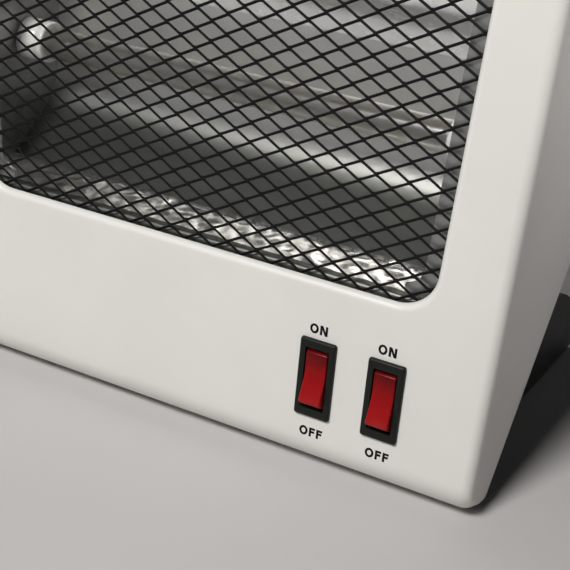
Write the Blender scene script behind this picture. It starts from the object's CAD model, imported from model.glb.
import math

import bmesh
import bpy
from mathutils import Matrix, Vector
from mathutils import noise as fractal


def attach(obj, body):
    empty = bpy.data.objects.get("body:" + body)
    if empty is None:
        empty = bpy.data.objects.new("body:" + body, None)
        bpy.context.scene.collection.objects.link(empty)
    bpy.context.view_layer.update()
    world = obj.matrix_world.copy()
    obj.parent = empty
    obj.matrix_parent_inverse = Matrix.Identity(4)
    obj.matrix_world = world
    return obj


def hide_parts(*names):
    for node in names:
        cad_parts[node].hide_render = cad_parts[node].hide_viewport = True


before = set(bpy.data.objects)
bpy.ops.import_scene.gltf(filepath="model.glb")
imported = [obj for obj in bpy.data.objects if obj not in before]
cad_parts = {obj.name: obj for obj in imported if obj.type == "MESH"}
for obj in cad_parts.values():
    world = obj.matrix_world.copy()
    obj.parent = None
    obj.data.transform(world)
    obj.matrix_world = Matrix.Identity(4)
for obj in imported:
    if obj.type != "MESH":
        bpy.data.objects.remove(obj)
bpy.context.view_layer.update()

# A small quartz bar heater. Shapes are drawn in millimetres in the body's own frame: x to the right,
# y back from the face, z up the leaning front. place() takes a point to the shared frame in metres.

scene = bpy.context.scene

# ---------------------------------------------------------------- main sizes, in millimetres
MM = 0.001
LEAN = math.radians(8)
BOX_MID = 66.5995           # how far the middle of the whole object lies behind the body's origin
ORIGIN_UP = 3.5             # height of the body's origin over the floor
WALL = 2.5                  # thickness of the shell
BODY_H = 298.5              # height of the shell along its lean
SHELL_D = 64.0              # depth of the shell above the knee
KNEE_Z = 103.0              # below this height the shell's rear edge slants forward
LOW_D = 14.7                # depth of the shell at its low edge
EDGE_R = 4.0                # rounding round the face
CHIN_R = 13.0               # rounding under the face
CHIN_FALL = 0.55            # fall of the lower limit behind the chin, per millimetre of depth
SPREAD = 6.0                # how far the outline has grown at the depth SHELL_D
LOW_R = 4.5                 # low corners of the outline
LOW_R_MORE = 1.2            # how much rounder they are at the face
TOP_R = 18.0                # top corners of the outline
WIN_Z0, WIN_Z1 = 75.0, 271.0
WIN_R = 14.0
SWITCH_X, SWITCH_Z = (56.0, 82.5), 37.5
TUBE_Z, TUBE_Y = (127.0, 219.0), 30.0
MID_Z = (TUBE_Z[0] + TUBE_Z[1]) / 2


def place(x, y, z):
    """Body-frame millimetres to the shared frame in metres."""
    return (x * MM, (y * math.cos(LEAN) + z * math.sin(LEAN) - BOX_MID) * MM,
            (z * math.cos(LEAN) - y * math.sin(LEAN) + ORIGIN_UP) * MM)


def half_w(z):
    """Half the shell's width at height z."""
    low, gain = 119, 6
    return low + gain * z / BODY_H


def win_half(z):
    """Half the window's width at height z."""
    low, gain = 94.75, 9
    return low + gain * (z - WIN_Z0) / (WIN_Z1 - WIN_Z0)


# ---------------------------------------------------------------- shader nodes
def new_mat(name):
    mat = bpy.data.materials.new(name)
    mat.use_nodes = True
    nt = mat.node_tree
    for old in list(nt.nodes):
        nt.nodes.remove(old)
    out = nt.nodes.new("ShaderNodeOutputMaterial")
    bsdf = nt.nodes.new("ShaderNodeBsdfPrincipled")
    nt.links.new(bsdf.outputs[0], out.inputs[0])
    return mat, nt, bsdf


def coords(nt, stretch=(1, 1, 1)):
    """Object coordinates in metres; a small stretch along an axis draws the pattern out along it."""
    tex = nt.nodes.new("ShaderNodeTexCoord")
    mapping = nt.nodes.new("ShaderNodeMapping")
    mapping.inputs["Scale"].default_value = stretch
    nt.links.new(tex.outputs["Object"], mapping.inputs["Vector"])
    return mapping.outputs[0]


def calc(nt, operation, *terms):
    """A maths node on terms that are sockets or numbers."""
    node = nt.nodes.new("ShaderNodeMath")
    node.operation = operation
    for i, term in enumerate(terms):
        if isinstance(term, (int, float)):
            node.inputs[i].default_value = term
        else:
            nt.links.new(term, node.inputs[i])
    return node.outputs[0]


def map_range(nt, value, low, high, to_low=0.0, to_high=1.0, smooth=False):
    node = nt.nodes.new("ShaderNodeMapRange")
    if smooth:
        node.interpolation_type = "SMOOTHSTEP"
    node.inputs["From Min"].default_value = low
    node.inputs["From Max"].default_value = high
    node.inputs["To Min"].default_value = to_low
    node.inputs["To Max"].default_value = to_high
    nt.links.new(value, node.inputs["Value"])
    return node.outputs[0]


def body_height(nt):
    """Height along the leaning body, in metres."""
    tex = nt.nodes.new("ShaderNodeTexCoord")
    along = nt.nodes.new("ShaderNodeVectorMath")
    along.operation = "DOT_PRODUCT"
    along.inputs[1].default_value = (0, math.sin(LEAN), math.cos(LEAN))
    nt.links.new(tex.outputs["Object"], along.inputs[0])
    origin = (BOX_MID * math.sin(LEAN) - ORIGIN_UP * math.cos(LEAN)) * MM
    return calc(nt, "ADD", along.outputs["Value"], origin)


def noise(nt, vector, scale, detail, rough=0.5):
    node = nt.nodes.new("ShaderNodeTexNoise")
    node.inputs["Scale"].default_value = scale
    node.inputs["Detail"].default_value = detail
    node.inputs["Roughness"].default_value = rough
    nt.links.new(vector, node.inputs["Vector"])
    return node.outputs[0]


def ramp(nt, value, stops):
    """Colour for a value, from stops of (position, colour)."""
    node = nt.nodes.new("ShaderNodeValToRGB")
    marks = node.color_ramp.elements
    while len(marks) > 1:
        marks.remove(marks[-1])
    marks[0].position = stops[0][0]
    marks[0].color = (*stops[0][1], 1)
    for position, color in stops[1:]:
        mark = marks.new(position)
        mark.color = (*color, 1)
    nt.links.new(value, node.inputs[0])
    return node.outputs[0]


def bump(nt, bsdf, relief, strength, distance):
    node = nt.nodes.new("ShaderNodeBump")
    node.inputs["Strength"].default_value = strength
    node.inputs["Distance"].default_value = distance
    nt.links.new(relief, node.inputs["Height"])
    nt.links.new(node.outputs[0], bsdf.inputs["Normal"])


# ---------------------------------------------------------------- materials
def plastic(name, tone_a, tone_b, rough, grain, grain_h, coat=0.0, spec=0.5):
    """Moulded plastic: faint colour drift, fine grain in the surface, uneven gloss."""
    patch = 18
    mat, nt, bsdf = new_mat(name)
    at = coords(nt)
    drift = noise(nt, at, patch, 3)
    fine = noise(nt, at, grain, 2)
    gloss = noise(nt, at, patch * 3, 5)
    nt.links.new(ramp(nt, drift, [(0.35, tone_a), (0.65, tone_b)]), bsdf.inputs["Base Color"])
    nt.links.new(map_range(nt, gloss, 0, 1, *rough), bsdf.inputs["Roughness"])
    bump(nt, bsdf, fine, 0.35, grain_h)
    bsdf.inputs["Coat Weight"].default_value = coat
    bsdf.inputs["Specular IOR Level"].default_value = spec
    return mat


def metal(name, tone_a, tone_b, rough, scale, stretch=(1, 1, 1), bump_h=0.00005, metallic=1.0):
    """Sheet, wire or screw metal: mottled tone and gloss with a slight relief."""
    mat, nt, bsdf = new_mat(name)
    at = coords(nt, stretch)
    mottle = noise(nt, at, scale, 6, 0.6)
    gloss = noise(nt, at, scale * 2.3, 4)
    nt.links.new(ramp(nt, mottle, [(0.3, tone_a), (0.7, tone_b)]), bsdf.inputs["Base Color"])
    nt.links.new(map_range(nt, gloss, 0, 1, *rough), bsdf.inputs["Roughness"])
    bump(nt, bsdf, mottle, 0.3, bump_h)
    bsdf.inputs["Metallic"].default_value = metallic
    return mat


def glass(name):
    """Milky quartz: cloudy wall that lets the coil show softly, with a glossy skin."""
    mat, nt, bsdf = new_mat(name)
    cloud = noise(nt, coords(nt, (0.2, 1, 1)), 120, 3)
    tones = [(0.3, (0.66, 0.64, 0.59)), (0.7, (0.78, 0.76, 0.71))]
    nt.links.new(ramp(nt, cloud, tones), bsdf.inputs["Base Color"])
    nt.links.new(map_range(nt, cloud, 0, 1, 0.26, 0.34), bsdf.inputs["Roughness"])
    bsdf.inputs["Transmission Weight"].default_value = 0.93
    bsdf.inputs["IOR"].default_value = 1.45
    bsdf.inputs["Coat Weight"].default_value = 1.0
    bsdf.inputs["Coat Roughness"].default_value = 0.12
    bsdf.inputs["Coat IOR"].default_value = 1.8
    return mat


def mirror(name):
    """Rolled reflector sheet, bright behind the tubes and heat-dulled towards the window's sill and head."""
    dulled_below, bright_above = 96, 112                # heights at the sill; the head mirrors them
    color_a, color_b, color_out = 6, 7, 2               # the Mix node's sockets for colours
    mat, nt, bsdf = new_mat(name)
    streaks = noise(nt, coords(nt, (0.12, 1, 1)), 45, 6, 0.6)
    bright = ramp(nt, streaks, [(0.3, (0.68, 0.67, 0.645)), (0.7, (0.82, 0.81, 0.78))])
    dulled = ramp(nt, streaks, [(0.3, (0.112, 0.115, 0.105)), (0.7, (0.16, 0.163, 0.15))])
    from_mid = calc(nt, "ABSOLUTE", calc(nt, "SUBTRACT", body_height(nt), MID_Z * MM))
    fade = map_range(nt, from_mid, (MID_Z - bright_above) * MM, (MID_Z - dulled_below) * MM, smooth=True)
    mix = nt.nodes.new("ShaderNodeMix")
    mix.data_type = "RGBA"
    nt.links.new(fade, mix.inputs["Factor"])
    nt.links.new(bright, mix.inputs[color_a])
    nt.links.new(dulled, mix.inputs[color_b])
    nt.links.new(mix.outputs[color_out], bsdf.inputs["Base Color"])
    nt.links.new(map_range(nt, streaks, 0, 1, 0.36, 0.52), bsdf.inputs["Roughness"])
    bump(nt, bsdf, streaks, 0.3, 0.00005)
    bsdf.inputs["Metallic"].default_value = 1.0
    return mat


def rocker_red(name):
    """Glossy see-through red: deep at the top, paler and pinker at the low end."""
    low_end, high_end = 0.026, 0.049                    # body heights in metres
    mat, nt, bsdf = new_mat(name)
    up = map_range(nt, body_height(nt), low_end, high_end)
    cloud = noise(nt, coords(nt), 160, 3)
    tones = [(0.14, (0.33, 0.027, 0.025)), (0.36, (0.30, 0.005, 0.006)),
             (0.78, (0.25, 0.0015, 0.003)), (1.0, (0.12, 0.001, 0.002))]
    blurred = calc(nt, "MULTIPLY_ADD", cloud, 0.22, up)
    nt.links.new(ramp(nt, blurred, tones), bsdf.inputs["Base Color"])
    nt.links.new(map_range(nt, cloud, 0, 1, 0.24, 0.36), bsdf.inputs["Roughness"])
    bump(nt, bsdf, cloud, 0.3, 0.00002)
    bsdf.inputs["Specular IOR Level"].default_value = 0.16
    return mat


MATERIALS = {
    "white": plastic("white_moulding", (0.755, 0.742, 0.712), (0.785, 0.772, 0.742),
                     rough=(0.36, 0.46), grain=1800, grain_h=0.00002),
    "black": plastic("black_moulding", (0.005, 0.006, 0.005), (0.009, 0.0105, 0.0085),
                     rough=(0.38, 0.5), grain=2200, grain_h=0.00003, spec=0.2),
    "dark": plastic("dark_moulding", (0.007, 0.007, 0.0066), (0.012, 0.012, 0.0113),
                    rough=(0.42, 0.6), grain=1500, grain_h=0.00008, spec=0.3),
    "wire": plastic("grille_enamel", (0.0025, 0.0025, 0.0025), (0.005, 0.005, 0.005),
                    rough=(0.42, 0.6), grain=900, grain_h=0.00004, spec=0.16),
    "ink": plastic("printed_ink", (0.003, 0.003, 0.003), (0.006, 0.006, 0.006),
                   rough=(0.55, 0.7), grain=3000, grain_h=0.00002, spec=0.1),
    "plated": metal("plated_steel", (0.30, 0.30, 0.29), (0.40, 0.40, 0.39), rough=(0.35, 0.55), scale=90),
    "frame": metal("frame_steel", (0.04, 0.04, 0.038), (0.07, 0.07, 0.067), rough=(0.35, 0.55), scale=90),
    "screw": metal("screw_steel", (0.42, 0.42, 0.41), (0.55, 0.55, 0.54), rough=(0.25, 0.4), scale=200),
    "brass": metal("terminal_brass", (0.55, 0.40, 0.16), (0.66, 0.5, 0.22), rough=(0.25, 0.4), scale=200),
    "coil": metal("coil_wire", (0.07, 0.062, 0.053), (0.13, 0.115, 0.10), rough=(0.4, 0.6), scale=400),
    "foil": metal("mirror_crumpled", (0.64, 0.64, 0.62), (0.76, 0.75, 0.73), rough=(0.16, 0.30),
                  scale=110, stretch=(0.7, 1, 1), bump_h=0.00003),
    "flank": metal("mirror_flank", (0.88, 0.88, 0.87), (0.95, 0.945, 0.93), rough=(0.2, 0.32),
                   scale=110, stretch=(0.5, 1, 1), bump_h=0.00003, metallic=0.12),
    "ceramic": plastic("glazed_ceramic", (0.83, 0.82, 0.79), (0.89, 0.88, 0.85),
                       rough=(0.16, 0.28), grain=500, grain_h=0.00003, coat=0.4),
    "rubber": plastic("rubber", (0.010, 0.010, 0.010), (0.02, 0.02, 0.02),
                      rough=(0.6, 0.8), grain=1200, grain_h=0.0001, spec=0.3),
    "sleeve": plastic("lead_sleeving", (0.45, 0.42, 0.36), (0.58, 0.54, 0.47),
                      rough=(0.7, 0.9), grain=900, grain_h=0.0002),
    "quartz": glass("quartz"),
    "mirror": mirror("mirror_sheet"),
    "red": rocker_red("red_rocker"),
}

MADE_OF = {
    "white": ["front_shell"],
    "wire": ["grille"],
    "frame": ["grille_frame"],
    "mirror": ["reflector"],
    "plated": ["end_plate_left", "end_plate_right", "thermal_cutout"],
    "quartz": ["quartz_tube_lower", "quartz_tube_upper"],
    "coil": ["heating_coil_lower", "heating_coil_upper"],
    "brass": ["tube_terminals", "switch_terminals"],
    "black": ["switch_body_left", "switch_body_right", "tip_switch"],
    "red": ["rocker_left", "rocker_right"],
    "sleeve": ["wiring"],
    "dark": ["rear_housing", "carry_handle", "foot_left", "foot_right"],
    "rubber": ["foot_pads", "cord_gland"],
    "screw": ["case_screws", "bracket_screws", "foot_screws", "handle_screws"],
    "ceramic": ["ceramic_end_lower_left", "ceramic_end_lower_right", "ceramic_end_upper_left",
                "ceramic_end_upper_right", "terminal_block", "tip_plunger"],
}
for key, node_names in MADE_OF.items():
    for node_name in node_names:
        solid = bpy.data.objects[node_name]
        if not solid.material_slots:
            solid.data.materials.append(MATERIALS[key])
        for material_slot in solid.material_slots:
            material_slot.material = MATERIALS[key]


# ---------------------------------------------------------------- mesh helpers
def cut_out(ob, verts, faces):
    """Take a closed shape away from the object's mesh."""
    tool_mesh = bpy.data.meshes.new("tool")
    tool_mesh.from_pydata(verts, [], faces)
    tool = bpy.data.objects.new("tool", tool_mesh)
    scene.collection.objects.link(tool)
    mod = ob.modifiers.new("cut", "BOOLEAN")
    mod.operation = "DIFFERENCE"
    mod.solver = "EXACT"
    mod.object = tool
    bpy.context.view_layer.update()
    graph = bpy.context.evaluated_depsgraph_get()
    result = bpy.data.meshes.new_from_object(ob.evaluated_get(graph))
    ob.modifiers.clear()
    ob.data = result
    bpy.data.objects.remove(tool)
    bpy.data.meshes.remove(tool_mesh)


def make(name, verts, faces, keys, angle, body="root", replaces=(), slot=None, cuts=()):
    """A piece of the object: welded, cut, smoothed up to an angle in degrees, and riding on its body."""
    weld = 1e-7
    mesh = bpy.data.meshes.new(name)
    mesh.from_pydata(verts, [], faces)
    for key in keys:
        mesh.materials.append(MATERIALS[key])
    bm = bmesh.new()
    bm.from_mesh(mesh)
    bmesh.ops.remove_doubles(bm, verts=bm.verts, dist=weld)
    bmesh.ops.dissolve_degenerate(bm, edges=bm.edges, dist=weld)
    bmesh.ops.recalc_face_normals(bm, faces=bm.faces)
    bm.to_mesh(mesh)
    bm.free()
    ob = bpy.data.objects.new(name, mesh)
    scene.collection.objects.link(ob)
    for cut_verts, cut_faces in cuts:
        cut_out(ob, cut_verts, cut_faces)
    ob.data.shade_smooth()
    ob.data.set_sharp_from_angle(angle=math.radians(angle))
    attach(ob, body)
    if replaces:
        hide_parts(*replaces)
    return ob


def skin(rings, caps=False):
    """Quads between successive rings of equal length, with the first and last closed if asked."""
    verts, faces = [], []
    n = len(rings[0])
    for ring in rings:
        verts += ring
    for k in range(len(rings) - 1):
        for i in range(n):
            a, b = k * n + i, k * n + (i + 1) % n
            faces.append((a, b, b + n, a + n))
    if caps:
        faces.append(tuple(reversed(range(n))))
        faces.append(tuple(range(len(verts) - n, len(verts))))
    return verts, faces


def box_shape(x0, x1, y0, y1, z0, z1):
    verts = [place(x, y, z) for x in (x0, x1) for y in (y0, y1) for z in (z0, z1)]
    return verts, [(0, 1, 3, 2), (4, 6, 7, 5), (0, 4, 5, 1), (2, 3, 7, 6), (0, 2, 6, 4), (1, 5, 7, 3)]


# ---------------------------------------------------------------- shell
def outline(corners, out):
    """Points (x, z) round a quad with round corners (cx, cz, radius, first angle, last angle).

    They lie a distance out beyond the quad. Each straight run is divided where SIDE_STEPS says."""
    corner_steps = 14
    points = []
    for i, (cx, cz, r, first, last) in enumerate(corners):
        for k in range(corner_steps + 1):
            a = math.radians(first + (last - first) * k / corner_steps)
            points.append((cx + (r + out) * math.cos(a), cz + (r + out) * math.sin(a)))
        nx, nz, nr, turn, _ = corners[(i + 1) % len(corners)]
        a = math.radians(turn)
        p, q = points[-1], (nx + (nr + out) * math.cos(a), nz + (nr + out) * math.sin(a))
        for t in SIDE_STEPS[i]:
            points.append((p[0] + (q[0] - p[0]) * t, p[1] + (q[1] - p[1]) * t))
    return points


def window_corners():
    """The window's corners, from the lower right, anticlockwise."""
    low, high = win_half(WIN_Z0), win_half(WIN_Z1)
    slant = math.atan2(high - low, WIN_Z1 - WIN_Z0)
    low -= WIN_R * (1 - math.sin(slant)) / math.cos(slant)
    high -= WIN_R * (1 + math.sin(slant)) / math.cos(slant)
    turn = math.degrees(slant)
    z0, z1 = WIN_Z0 + WIN_R, WIN_Z1 - WIN_R
    return [(low, z0, WIN_R, -90, -turn), (high, z1, WIN_R, -turn, 90),
            (-high, z1, WIN_R, 90, 180 + turn), (-low, z0, WIN_R, 180 + turn, 270)]


def case_corners():
    """The shell's corners at the face, from the lower right, anticlockwise."""
    low, high = half_w(LOW_R) - LOW_R, half_w(BODY_H - TOP_R) - TOP_R
    return [(low, LOW_R, LOW_R, -90, 0), (high, BODY_H - TOP_R, TOP_R, 0, 90),
            (-high, BODY_H - TOP_R, TOP_R, 90, 180), (-low, LOW_R, LOW_R, 180, 270)]


# heights at which the outline's sides get a point
POINT_Z = (6.2, 8.5, 10, 12, 13.2, 16, 22, 35, 50, 65, 80, 95, 101, 103, 105, 110, 125, 150, 180, 210, 240,
           262, 274)
UP_STEPS = [(z - LOW_R) / (BODY_H - TOP_R - LOW_R) for z in POINT_Z]
ACROSS_STEPS = [0.02, 0.1, 0.2, 0.3, 0.4, 0.5, 0.6, 0.7, 0.8, 0.9, 0.98]
SIDE_STEPS = (UP_STEPS, ACROSS_STEPS, [1 - t for t in reversed(UP_STEPS)], ACROSS_STEPS)
CASE = list(zip(outline(case_corners(), 0), outline(case_corners(), 1)))


def case_at(i, out):
    """Point i of the shell's outline, a distance out beyond it."""
    (x0, z0), (x1, z1) = CASE[i]
    return x0 + out * (x1 - x0), z0 + out * (z1 - z0)


def grow(y):
    """How far the shell's outer side has spread at depth y."""
    return SPREAD / (SHELL_D - EDGE_R) * max(0.0, y - EDGE_R)


def shrink(y):
    """The same for its inner side."""
    return grow(y) - WALL


def rear_depth(z):
    """Depth of the shell's rear edge at height z."""
    return SHELL_D if z >= KNEE_Z else LOW_D + (SHELL_D - LOW_D) * z / KNEE_Z


def edge_depths():
    """Depth of the shell's rear edge at each point of the outline, which spreads with the depth."""
    depths = []
    for i in range(len(CASE)):
        depth = SHELL_D
        for _ in range(8):
            depth = rear_depth(case_at(i, grow(depth))[1])
        depths.append(depth)
    return depths


EDGE_DEPTHS = edge_depths()


def chin_z(y, r):
    """Lowest height that the rounding under the face leaves at depth y."""
    if y >= CHIN_R:
        return CHIN_R - r - CHIN_FALL * (y - CHIN_R)
    return CHIN_R - math.sqrt(max(r * r - (CHIN_R - y) ** 2, 0))


def level_ring(y, out, r):
    """A ring of the shell at one depth y. In front of the chin's axis the low corners follow the chin."""
    if y >= CHIN_R:
        points = [case_at(i, out) for i in range(len(CASE))]
        return [place(x, y, max(z, chin_z(y, r))) for x, z in points]
    low = chin_z(y, r) + out
    low_r = LOW_R + LOW_R_MORE * (1 - y / CHIN_R)
    centre = half_w(low + low_r) - low_r
    corners = case_corners()
    corners[0] = (centre, low + low_r, low_r, -90, 0)
    corners[3] = (-centre, low + low_r, low_r, 180, 270)
    return [place(x, y, z) for x, z in outline(corners, out)]


def wall_ring(depth_of, out_at, r):
    """A ring of the shell whose depth follows the rear edge."""
    ring = []
    for i, edge in enumerate(EDGE_DEPTHS):
        y = depth_of(edge)
        x, z = case_at(i, out_at(y))
        ring.append(place(x, y, max(z, chin_z(y, r))))
    return ring


def window_ring(y, out):
    """A ring at depth y, a distance out beyond the window."""
    return [place(x, y, z) for x, z in outline(window_corners(), out)]


def shell():
    rim, inner_r = 0.5, CHIN_R - WALL
    rings = []
    for s in (0.0, 0.5, 1.0):                           # inner side, from the rear edge forward
        rings.append(wall_ring(lambda edge: edge - rim + (CHIN_R - edge + rim) * s, shrink, inner_r))
    for y in (11, 9, 7, 5, 3.5, WALL):
        rings.append(level_ring(y, shrink(y), inner_r))
    rings.append(window_ring(WALL, 0.4))
    rings.append(window_ring(WALL - 0.15, 0))
    for k in range(9):                                  # the window's rounded lip
        a = math.radians(90 * k / 8)
        rings.append(window_ring(WALL * (1 - math.sin(a)), WALL * (1 - math.cos(a))))
    rings.append(window_ring(0, WALL + 0.5))
    rings.append(level_ring(0, -EDGE_R - 0.4, CHIN_R + 1e-6))
    for k in range(13):                                 # rounding round the face
        a = math.radians(90 * k / 12)
        rings.append(level_ring(EDGE_R * (1 - math.cos(a)), -EDGE_R * (1 - math.sin(a)), CHIN_R))
    for y in (5, 6, 7, 8, 9, 10, 11.5, CHIN_R):         # outer side, back to the rear edge
        rings.append(level_ring(y, grow(y), CHIN_R))
    for s in (0.25, 0.5, 0.75, 1.0):
        rings.append(wall_ring(lambda edge: CHIN_R + (edge - rim - CHIN_R) * s, grow, CHIN_R))
    rings.append(wall_ring(lambda edge: edge - rim * 0.3, lambda y: grow(y) - rim * 0.3, CHIN_R))
    rings.append(wall_ring(lambda edge: edge, lambda y: grow(y) - rim, CHIN_R - rim))
    rings.append(wall_ring(lambda edge: edge, lambda y: grow(y) - WALL + rim, CHIN_R - WALL + rim))
    rings.append(rings[0])
    return skin(rings)


HOLE_W, HOLE_H = 6.2, 14.2                              # half width and height of a switch's hole
holes = [box_shape(x - HOLE_W, x + HOLE_W, -1, WALL + 1, SWITCH_Z - HOLE_H, SWITCH_Z + HOLE_H)
         for x in SWITCH_X]
make("shell_moulding", *shell(), ["white"], angle=50, replaces=["front_shell"], slot="white_plastic",
     cuts=holes)


# ---------------------------------------------------------------- switches
BODY_W, BODY_UP, BODY_BACK = 12, 28, 20.0               # switch body: width, height, depth
BEZEL_W, BEZEL_UP, BEZEL_R, BEZEL_EDGE = 14, 31, 0.9, 0.75
WELL_W, WELL_UP = 9, 24
# from the bezel's face down to the well's floor: how much wider than the well, corner radius, y
WELL_LIP = ((0.7, 0.55, -1.5), (0.3, 0.4, -1.42), (0.05, 0.3, -1.1), (0, 0.3, 0.0), (0, 0.3, 12.5))
PIVOT_Y = 3.5
ROCKER_R, ROCKER_W = 11.7, 8.4                          # reach of its ends from the pivot, and its width
ROCKER_FACE = 5.2                                       # from the pivot out to the valley in its face
ROCKER_TILT = math.radians(10)
ROCKER_EDGE = 0.55


def round_rectangle(w, h, r):
    """Points (x, z) round a rectangle about the origin."""
    corner_steps = 5
    points = []
    for side, up, first in ((1, -1, -90), (1, 1, 0), (-1, 1, 90), (-1, -1, 180)):
        for k in range(corner_steps + 1):
            a = math.radians(first + 90 * k / corner_steps)
            points.append((side * (w / 2 - r) + r * math.cos(a), up * (h / 2 - r) + r * math.sin(a)))
    return points


def switch_body(cx):
    """Body, bezel with a rounded edge, and the well that the rocker sits in."""
    steps = [(BODY_W, BODY_UP, 0.4, BODY_BACK), (BODY_W, BODY_UP, 0.4, 0.0)]      # width, height, radius, y
    steps += [(BEZEL_W, BEZEL_UP, BEZEL_R, 0.0), (BEZEL_W, BEZEL_UP, BEZEL_R, -BEZEL_EDGE)]
    for k in range(1, 5):
        a = math.radians(22.5 * k)
        inset = BEZEL_EDGE * (1 - math.cos(a))
        steps.append((BEZEL_W - 2 * inset, BEZEL_UP - 2 * inset, BEZEL_R - inset * 0.6,
                      -BEZEL_EDGE - BEZEL_EDGE * math.sin(a)))
    for wider, r, y in WELL_LIP:
        steps.append((WELL_W + wider, WELL_UP + wider, r, y))
    rings = [[place(cx + x, y, SWITCH_Z + z) for x, z in round_rectangle(w, h, r)] for w, h, r, y in steps]
    return skin(rings, caps=True)


def rocker_profile():
    """Points (y, z) round the seesaw's side, about its pivot, with its face level."""
    rise, valley = math.tan(ROCKER_TILT) * ROCKER_R, 0.16
    norm = math.sqrt(1 + valley * valley) - valley

    def face(z):
        bend = math.sqrt((z / ROCKER_R) ** 2 + valley * valley) - valley
        return -ROCKER_FACE - rise * bend / norm

    end = 0.0                                           # half the length of the face
    while math.hypot(face(end), end) < ROCKER_R:
        end += 0.02
    profile = [(face(-end + 2 * end * k / 20), -end + 2 * end * k / 20) for k in range(21)]
    first, last = math.atan2(end, face(end)), math.atan2(11.66, -0.9)
    arc = []                                            # from the face's end back to the underside
    for k in range(1, 6):
        a = first + (last - first) * k / 5
        arc.append((ROCKER_R * math.cos(a), ROCKER_R * math.sin(a)))
    return profile + arc + [(3, 8), (3, -8)] + [(y, -z) for y, z in reversed(arc)]


def rocker(cx):
    """The seesaw with rolled edges, at the tilt it has at rest."""
    profile = rocker_profile()
    n = len(profile)
    bm = bmesh.new()
    left, right = [[bm.verts.new((x, y, z)) for y, z in profile] for x in (-ROCKER_W / 2, ROCKER_W / 2)]
    for i in range(n):
        bm.faces.new((left[i], left[(i + 1) % n], right[(i + 1) % n], right[i]))
    bm.faces.new(list(reversed(left)))
    bm.faces.new(right)
    bmesh.ops.recalc_face_normals(bm, faces=bm.faces)
    sharp = [edge for edge in bm.edges if edge.calc_face_angle(0) > math.radians(24)]
    bmesh.ops.bevel(bm, geom=sharp, offset=ROCKER_EDGE, segments=4, profile=0.5, affect="EDGES")
    bm.verts.index_update()
    faces = [[vert.index for vert in face.verts] for face in bm.faces]
    cos, sin = math.cos(-ROCKER_TILT), math.sin(-ROCKER_TILT)
    verts = []
    for vert in bm.verts:
        x, y, z = vert.co
        verts.append(place(cx + x, PIVOT_Y + y * cos - z * sin, SWITCH_Z + y * sin + z * cos))
    bm.free()
    return verts, faces


for side, cx in zip(("left", "right"), SWITCH_X):
    make("switch_frame_" + side, *switch_body(cx), ["black"], angle=40, replaces=["switch_body_" + side],
         slot="black_plastic")
    make("rocker_key_" + side, *rocker(cx), ["red"], angle=50, body="rocker_" + side,
         replaces=["rocker_" + side], slot="red_plastic")


# ---------------------------------------------------------------- lettering at the switches
LETTER_H, LETTER_GAP = 3.75, 0.58
LETTER_W = {"O": 0.9, "N": 0.8, "F": 0.62}              # shares of the height, like the next two
STROKE, ROUND_HALF = 0.235, 0.515
INK_BACK, INK_FRONT = 0.02, -0.05                       # depths, with the face at 0
ON_Z, ON_SHIFT = 56.9, -0.8                             # middle of the word; shift from the switch's middle
OFF_Z, OFF_SHIFT = 15.2, 0.2


def ellipse(cx, cz, rx, rz):
    n = 36
    turns = [2 * math.pi * k / n for k in range(n)]
    return [(cx + rx * math.cos(a), cz + rz * math.sin(a)) for a in turns]


def glyph(letter, x0, z0):
    """Solid letter on the face, from its lower left corner."""
    h, w, s = LETTER_H, LETTER_W[letter] * LETTER_H, STROKE * LETTER_H
    if letter == "O":
        outer = ellipse(x0 + w / 2, z0 + h / 2, w / 2, ROUND_HALF * h)
        inner = ellipse(x0 + w / 2, z0 + h / 2, w / 2 - s, ROUND_HALF * h - s)
        rings = [[place(x, y, z) for x, z in points] for points, y in
                 ((outer, INK_BACK), (outer, INK_FRONT), (inner, INK_FRONT), (inner, INK_BACK))]
        return skin(rings + [rings[0]])
    if letter == "N":
        slant, fall = 1.18 * s, 1.75 * s
        points = [(0, 0), (s, 0), (s, h - fall), (w - slant, 0), (w, 0), (w, h), (w - s, h), (w - s, fall),
                  (slant, h), (0, h)]
    else:
        arm, bar = 0.92 * w, 0.42 * h
        points = [(0, 0), (s, 0), (s, bar), (arm, bar), (arm, bar + s), (s, bar + s), (s, h - s), (w, h - s),
                  (w, h), (0, h)]
    rings = [[place(x0 + x, y, z0 + z) for x, z in points] for y in (INK_BACK, INK_FRONT)]
    return skin(rings, caps=True)


def word(name, text, cx, cz):
    widths = [LETTER_W[letter] * LETTER_H for letter in text]
    x = cx - (sum(widths) + LETTER_GAP * (len(text) - 1)) / 2
    verts, faces = [], []
    for letter, width in zip(text, widths):
        letter_verts, letter_faces = glyph(letter, x, cz - LETTER_H / 2)
        faces += [tuple(i + len(verts) for i in face) for face in letter_faces]
        verts += letter_verts
        x += width + LETTER_GAP
    make(name, verts, faces, ["ink"], angle=40)


for side, cx in zip(("left", "right"), SWITCH_X):
    word("letters_on_" + side, "ON", cx + ON_SHIFT, ON_Z)
    word("letters_off_" + side, "OFF", cx + OFF_SHIFT, OFF_Z)


# ---------------------------------------------------------------- expanded metal
LONG_WAY, SHORT_WAY = 12.0, 7.09                        # one diamond, across and up
STRAND_W, STRAND_T = 1.2, 0.72
STRAND_TILT = math.radians(32)
# points of a strand's section, as shares of half its width and half its thickness
STRAND_SECTION = ((1, 0.45), (0.72, 1), (-0.72, 1), (-1, 0.45),
                  (-1, -0.45), (-0.72, -1), (0.72, -1), (1, -0.45))
STEPS_PER_DIAMOND = 12
MESH_Y = WALL + 1.15                                    # depth of the mesh's middle
MESH_Z, MESH_X = TUBE_Z[0] + 4.4, 2.1                   # a crossing of strands that lines up with the photo's
MESH_LAP = 1.2                                          # how far a strand runs on behind the window's edge
MESH_OVER = 3.5                                         # how far above and below the window rows go on


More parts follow.
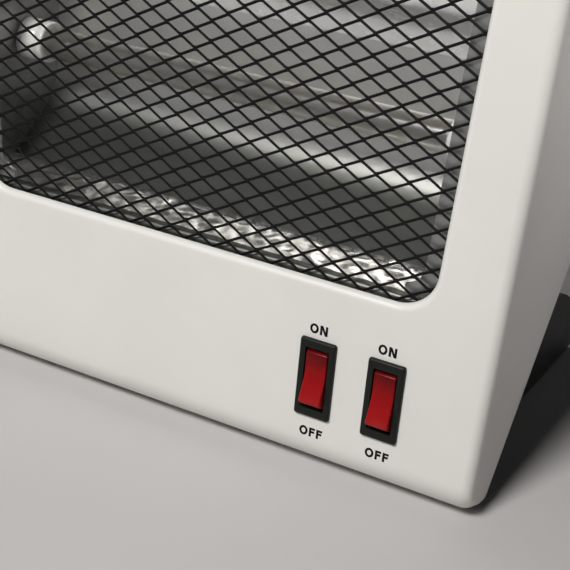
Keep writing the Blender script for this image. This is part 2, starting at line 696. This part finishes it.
def strand_reach(z):
    """Half the length of a strand that fills the window at height z."""
    r = WIN_R + MESH_LAP
    for corner_z, way in ((WIN_Z0 + WIN_R, -1), (WIN_Z1 - WIN_R, 1)):
        past = (z - corner_z) * way
        if past >= r:
            return win_half(corner_z) - WIN_R
        if past > 0:
            return win_half(corner_z) - WIN_R + math.sqrt(r * r - past * past)
    return win_half(z) + MESH_LAP


def mesh_strand(z, reach, shift):
    """Rings along one zigzag strand at height z, shift diamonds out of step with the first."""
    cos, sin = math.cos(STRAND_TILT), math.sin(STRAND_TILT)
    sway = SHORT_WAY / 4 - 0.3 * STRAND_W * cos         # neighbours overlap a little where they join
    swell = 0.5 * STRAND_W * sin
    section = []
    for a, b in STRAND_SECTION:
        across, through = a * (STRAND_W / 2), b * (STRAND_T / 2)
        section.append((-across * sin - through * cos, across * cos - through * sin))
    n = int(2 * reach / (LONG_WAY / STEPS_PER_DIAMOND)) + 1
    rings = []
    for i in range(n + 1):
        x = -reach + 2 * reach * i / n
        phase = ((x - MESH_X) / LONG_WAY + shift) % 1.0
        zigzag = 4 * abs(phase - 0.5) - 1
        swing = max(-1.0, min(1.0, zigzag * 1.06))      # short flats where neighbours are joined
        rings.append([place(x, MESH_Y + swing * swell + y, z + swing * sway + up) for y, up in section])
    return rings


def grille():
    row = SHORT_WAY / 2
    first, last = int((WIN_Z0 - MESH_Z) / row) - 2, int((WIN_Z1 - MESH_Z) / row) + 2
    verts, faces = [], []
    for k in range(first, last + 1):
        z = MESH_Z + (k + 0.5) * SHORT_WAY / 2
        reach = strand_reach(z)
        if z < WIN_Z0 - MESH_OVER or z > WIN_Z1 + MESH_OVER or reach < 4:
            continue
        strand_verts, strand_faces = skin(mesh_strand(z, reach, 0.5 * (k % 2)), caps=True)
        faces += [tuple(i + len(verts) for i in face) for face in strand_faces]
        verts += strand_verts
    return verts, faces


make("grille_mesh", *grille(), ["wire"], angle=40, replaces=["grille"], slot="black_wire")


# ---------------------------------------------------------------- reflector
LOW_PATH = [(5.3, 70.0), (5.3, 76.0), (20.0, 80.0), (50.0, 101.5), (50.0, 149.0), (46.6, 158.5),
            (36.0, 167.0)]                              # section (y, z) up to the middle, which mirrors it
BEND_R = [0, 2, 2.5, 26, 4, 6, 5]
SHEET_T = 0.8
SHEET_X = 95.99                                         # half its width
SHEET_STEPS = 200
STRIP_Y = 30                                            # the sill strip lies in front of this depth
DENT_H = 1.6                                            # relief of a wholly crumpled sheet
DENT_X, DENT_UP, DENT_FROM = 0.14, 0.22, 11             # how densely dents lie, and where the pattern starts


def fillet(points, radii):
    """The open path with each inner corner rounded."""
    corner_steps = 6
    out = [Vector(points[0])]
    for i in range(1, len(points) - 1):
        a, p, b = Vector(points[i - 1]), Vector(points[i]), Vector(points[i + 1])
        back, on = (a - p).normalized(), (b - p).normalized()
        reach = min(radii[i] / math.tan(back.angle(on) / 2), 0.45 * (a - p).length, 0.45 * (b - p).length)
        for k in range(corner_steps + 1):
            t = k / corner_steps
            out.append((p + back * reach) * (1 - t) ** 2 + p * 2 * t * (1 - t) + (p + on * reach) * t * t)
    out.append(Vector(points[-1]))
    return out


def sheet_path():
    """The reflector's section in small steps along its bends and panels."""
    step, most = 1.5, 1.9
    corners = LOW_PATH + [(y, 2 * MID_Z - z) for y, z in reversed(LOW_PATH)]
    rounded = fillet(corners, BEND_R + BEND_R[::-1])
    path = [rounded[0]]
    for p in rounded[1:]:
        while (p - path[-1]).length > most:
            path.append(path[-1] + (p - path[-1]).normalized() * step)
        path.append(p)
    return path


def crumple(y, z):
    """How crumpled the sheet is at a place on its section: most on the sill strip, some on the flank."""
    edge_to, strip_to, strip_back, flank_from = 76.5, 90, 20.5, 149
    up = z if z < MID_Z else 2 * MID_Z - z
    if up < edge_to:
        return 0.0
    if up < strip_to and y < strip_back:
        return 0.42
    if up > flank_from:
        return 0.12
    return 0.01


def smoothed(values):
    """Each value averaged with the two before and after it."""
    windows = [values[max(0, i - 2):i + 3] for i in range(len(values))]
    return [sum(window) / len(window) for window in windows]


def dent(x, y, z):
    """Relief of the crumpled sheet, from two octaves of noise, the same each run."""
    finer = 1.4 if y < STRIP_Y else 1.0
    at = Vector((x * DENT_X, y * DENT_UP + DENT_FROM, z * DENT_UP)) * finer
    return fractal.noise(at) + 0.5 * fractal.noise(at * 2.3)


def reflector():
    """The folded sheet, and the faces of its crumpled sill strips and of its flanks."""
    path = sheet_path()
    n, cols = len(path), SHEET_STEPS + 1
    amount = smoothed([crumple(y, z) for y, z in path])
    normals = []
    for i in range(n):
        along = (path[min(i + 1, n - 1)] - path[max(i - 1, 0)]).normalized()
        normals.append(Vector((-along[1], along[0])))
    verts = []
    for depth in (0.0, SHEET_T):
        for i, p in enumerate(path):
            fade = min(1.0, i / 3, (n - 1 - i) / 3)     # the sheet's long edges stay straight
            for k in range(cols):
                x = -SHEET_X + 2 * SHEET_X * k / SHEET_STEPS
                y, z = p + normals[i] * (dent(x, p[0], p[1]) * amount[i] * fade * DENT_H - depth)
                verts.append(place(x, y, z))
    back = n * cols                                     # index of the back skin's first point
    faces, strips, flanks = [], [], []
    for i in range(n - 1):
        for k in range(SHEET_STEPS):
            if path[i][0] < STRIP_Y and amount[i] > 0.2:
                strips += [len(faces), len(faces) + 1]
            elif path[i][0] > STRIP_Y and amount[i] > 0.05:
                flanks += [len(faces), len(faces) + 1]
            a = i * cols + k
            faces.append((a, a + 1, a + 1 + cols, a + cols))
            faces.append((back + a, back + a + cols, back + a + 1 + cols, back + a + 1))
    for k in range(SHEET_STEPS):
        faces.append((k, back + k, back + k + 1, k + 1))
        a = (n - 1) * cols + k
        faces.append((a, a + 1, back + a + 1, back + a))
    for i in range(n - 1):
        a = i * cols
        faces.append((a, a + cols, back + a + cols, back + a))
        a += SHEET_STEPS
        faces.append((a, back + a, back + a + cols, a + cols))
    return verts, faces, strips, flanks


verts, faces, strips, flanks = reflector()
sheet = make("reflector_sheet", verts, faces, ["mirror", "foil", "flank"], angle=60, replaces=["reflector"],
             slot="mirror_sheet")
for material_index, face_indices in ((1, strips), (2, flanks)):
    for i in face_indices:
        sheet.data.polygons[i].material_index = material_index


# ---------------------------------------------------------------- tubes
TUBE_R, TUBE_BORE, TUBE_END = 6.0, 5.0, 89
COIL_R, COIL_WIRE_R, COIL_PITCH, COIL_END = 2.75, 0.4, 1.6, 86
CAP_R, CAP_EDGE = 8, 0.8
CAP_FROM, CAP_BORE = 84, 6.05
CAP_REST = [(87, 8), (87.4, 7.7), (88, 7.7), (88.4, 8), (95.6, 8), (95.95, 7.6), (95.95, 6.5), (97.25, 6.5),
            (97.25, 7.6), (97.6, 8), (103.2, 8), (103.8, 7.6), (104, 7), (104, 0.4)]     # (x, radius)


def lathe(profile, z, way=1, n=40):
    """Rings round the axis of the tube at height z; the profile is (x, radius)."""
    rings = []
    for x, r in profile:
        turns = [2 * math.pi * k / n for k in range(n)]
        rings.append([place(way * x, TUBE_Y + r * math.cos(a), z + r * math.sin(a)) for a in turns])
    return rings


def tube(z):
    outer = [(x, TUBE_R) for x in (-TUBE_END, -60, -30, 0, 30, 60, TUBE_END)]
    return skin(lathe(outer + [(TUBE_END, TUBE_BORE), (-TUBE_END, TUBE_BORE), (-TUBE_END, TUBE_R)], z))


def coil(z):
    turn_steps, wire_steps = 12, 6
    rings = []
    for i in range(int(2 * COIL_END / COIL_PITCH * turn_steps) + 1):
        a = 2 * math.pi * i / turn_steps
        x = -COIL_END + COIL_PITCH * i / turn_steps
        ring = []
        for j in range(wire_steps):
            b = 2 * math.pi * j / wire_steps
            r = COIL_R + COIL_WIRE_R * math.cos(b)
            ring.append(place(x + COIL_WIRE_R * math.sin(b), TUBE_Y + r * math.cos(a), z + r * math.sin(a)))
        rings.append(ring)
    return skin(rings, caps=True)


def ceramic_cap(z, way):
    """The ceramic end on the tube's left (way -1) or right (way 1), with its rounded mouth and grooves."""
    mouth_r = CAP_R - CAP_EDGE
    profile = [(CAP_FROM, CAP_BORE), (CAP_FROM, mouth_r)]
    for degrees in (30, 60, 90):
        a = math.radians(degrees)
        profile.append((CAP_FROM + CAP_EDGE - CAP_EDGE * math.cos(a), mouth_r + CAP_EDGE * math.sin(a)))
    return skin(lathe(profile + CAP_REST, z, way, 48), caps=True)


for level, z in zip(("lower", "upper"), TUBE_Z):
    make("tube_glass_" + level, *tube(z), ["quartz"], angle=40, replaces=["quartz_tube_" + level],
         slot="quartz")
    make("coil_" + level, *coil(z), ["coil"], angle=80, replaces=["heating_coil_" + level], slot="coil_wire")
    for side, way in (("left", -1), ("right", 1)):
        make("cap_%s_%s" % (level, side), *ceramic_cap(z, way), ["ceramic"], angle=40,
             replaces=["ceramic_end_%s_%s" % (level, side)], slot="ceramic")


# ---------------------------------------------------------------- moulded parts with eased edges
def eased(node_name, name, width):
    """The part's own solid with its sharp edges rolled by a width, standing for the node."""
    weld, flat, sharp_from = 1e-6, math.radians(0.8), math.radians(32)
    bm = bmesh.new()
    bm.from_mesh(bpy.data.objects[node_name].data)
    bmesh.ops.remove_doubles(bm, verts=bm.verts, dist=weld)
    bmesh.ops.dissolve_limit(bm, angle_limit=flat, verts=bm.verts, edges=bm.edges)
    sharp = []
    for edge in bm.edges:
        if len(edge.link_faces) == 2 and edge.calc_face_angle(0) > sharp_from:
            sharp.append(edge)
    bmesh.ops.bevel(bm, geom=sharp, offset=width * MM, segments=3, profile=0.5, affect="EDGES",
                    clamp_overlap=True)
    bm.verts.index_update()
    verts = [tuple(vert.co) for vert in bm.verts]
    faces = [[vert.index for vert in face.verts] for face in bm.faces]
    bm.free()
    make(name, verts, faces, ["dark"], angle=40, replaces=[node_name], slot="dark_plastic")


for node_name, name, width in (("carry_handle", "handle_grip", 0.9), ("foot_left", "foot_bar_left", 0.9),
                               ("foot_right", "foot_bar_right", 0.9), ("rear_housing", "rear_tub", 0.6)):
    eased(node_name, name, width)


# ---------------------------------------------------------------- camera
# From the perspective fit of both bezels and of the mesh's diamonds to the photo.
PHOTO_PX = 570
FOCAL_PX = 1298.53
SENSOR_MM = 36.0
CAMERA_AT = (0.2198385, -0.4009833, 0.3145758)
CAMERA_TURN = ((0.88074766, -0.26492145, 0.39255597), (0.47318214, 0.45804692, -0.75252355),
               (0.01955058, 0.84853382, 0.52877985))
camera = bpy.data.objects.new("camera", bpy.data.cameras.new("camera"))
camera.data.sensor_fit = "HORIZONTAL"
camera.data.sensor_width = SENSOR_MM
camera.data.lens = FOCAL_PX / PHOTO_PX * SENSOR_MM
camera.data.clip_start = 0.02
camera.matrix_world = Matrix.Translation(CAMERA_AT) @ Matrix(CAMERA_TURN).to_4x4()
scene.collection.objects.link(camera)
scene.camera = camera


# ---------------------------------------------------------------- floor
# Past the lamps' reach the floor keeps its pale tone for the camera alone, with no light on the object.
FLOOR_HALF = 6
LIT_TO, PALE_FROM = 0.45, 1.9                           # metres from the origin
PALE_LEVEL = 0.44


def floor_paint():
    mat, nt, bsdf = new_mat("floor_paint")
    at = coords(nt)
    mottle = noise(nt, at, 3, 3)
    tones = [(0.3, (0.515, 0.497, 0.492)), (0.7, (0.55, 0.532, 0.527))]
    nt.links.new(ramp(nt, mottle, tones), bsdf.inputs["Base Color"])
    nt.links.new(map_range(nt, mottle, 0, 1, 0.7, 0.85), bsdf.inputs["Roughness"])
    away = nt.nodes.new("ShaderNodeVectorMath")
    away.operation = "LENGTH"
    nt.links.new(at, away.inputs[0])
    pale = map_range(nt, away.outputs["Value"], LIT_TO, PALE_FROM, to_high=PALE_LEVEL, smooth=True)
    rays = nt.nodes.new("ShaderNodeLightPath")
    bsdf.inputs["Emission Color"].default_value = (1.0, 0.975, 0.965, 1)
    nt.links.new(calc(nt, "MULTIPLY", pale, rays.outputs["Is Camera Ray"]), bsdf.inputs["Emission Strength"])
    return mat


floor_mesh = bpy.data.meshes.new("floor")
floor_mesh.from_pydata([(x * FLOOR_HALF, y * FLOOR_HALF, 0) for x, y in ((-1, -1), (1, -1), (1, 1), (-1, 1))],
                       [], [(0, 1, 2, 3)])
floor_mesh.materials.append(floor_paint())
floor = bpy.data.objects.new("floor", floor_mesh)
scene.collection.objects.link(floor)


# ---------------------------------------------------------------- light
def lamp(name, at, target, size, power, color, spread=180):
    """A round soft lamp; places and size in metres, power in watts, spread in degrees."""
    light = bpy.data.lights.new(name, "AREA")
    light.shape = "DISK"
    light.size = size
    light.energy = power
    light.color = color
    light.spread = math.radians(spread)
    holder = bpy.data.objects.new(name, light)
    scene.collection.objects.link(holder)
    holder.location = at
    holder.rotation_euler = (Vector(target) - Vector(at)).to_track_quat("-Z", "Y").to_euler()


lamp("key", (-0.09, -0.70, 0.93), (0.02, -0.04, 0.10), 0.30, 11.4, (1.0, 0.99, 0.97))
lamp("side", (0.46, 0.02, 0.34), (0.13, 0.03, 0.21), 0.10, 0.054, (1.0, 0.99, 0.97), spread=42)
lamp("back", (-0.70, 0.80, 0.60), (0.0, 0.07, 0.20), 0.40, 0.42, (1.0, 0.99, 0.98), spread=30)

# A quiet room: pale round the horizon and dark overhead where it is seen or mirrored, and a faint fill.
FILL = 0.017
ROOM_PALE, ROOM_DARK = 0.5, 0.04
ROOM_TURNS, ROOM_TURNED = 0.66, 0.88                    # Generated z where it starts and stops darkening
world = bpy.data.worlds.new("world")
scene.world = world
world.use_nodes = True
nt = world.node_tree
background = nt.nodes["Background"]
background.inputs["Color"].default_value = (0.97, 0.985, 1.0, 1)
direction = nt.nodes.new("ShaderNodeTexCoord")
parts = nt.nodes.new("ShaderNodeSeparateXYZ")
nt.links.new(direction.outputs["Generated"], parts.inputs[0])
room = map_range(nt, parts.outputs["Z"], ROOM_TURNS, ROOM_TURNED, ROOM_PALE, ROOM_DARK)
rays = nt.nodes.new("ShaderNodeLightPath")
seen = calc(nt, "MAXIMUM", rays.outputs["Is Camera Ray"], rays.outputs["Is Glossy Ray"])
seen = calc(nt, "MAXIMUM", seen, rays.outputs["Is Transmission Ray"])
level = nt.nodes.new("ShaderNodeMix")
level.inputs["A"].default_value = FILL
nt.links.new(seen, level.inputs["Factor"])
nt.links.new(room, level.inputs["B"])
nt.links.new(level.outputs["Result"], background.inputs["Strength"])
scene.view_settings.view_transform = "Standard"
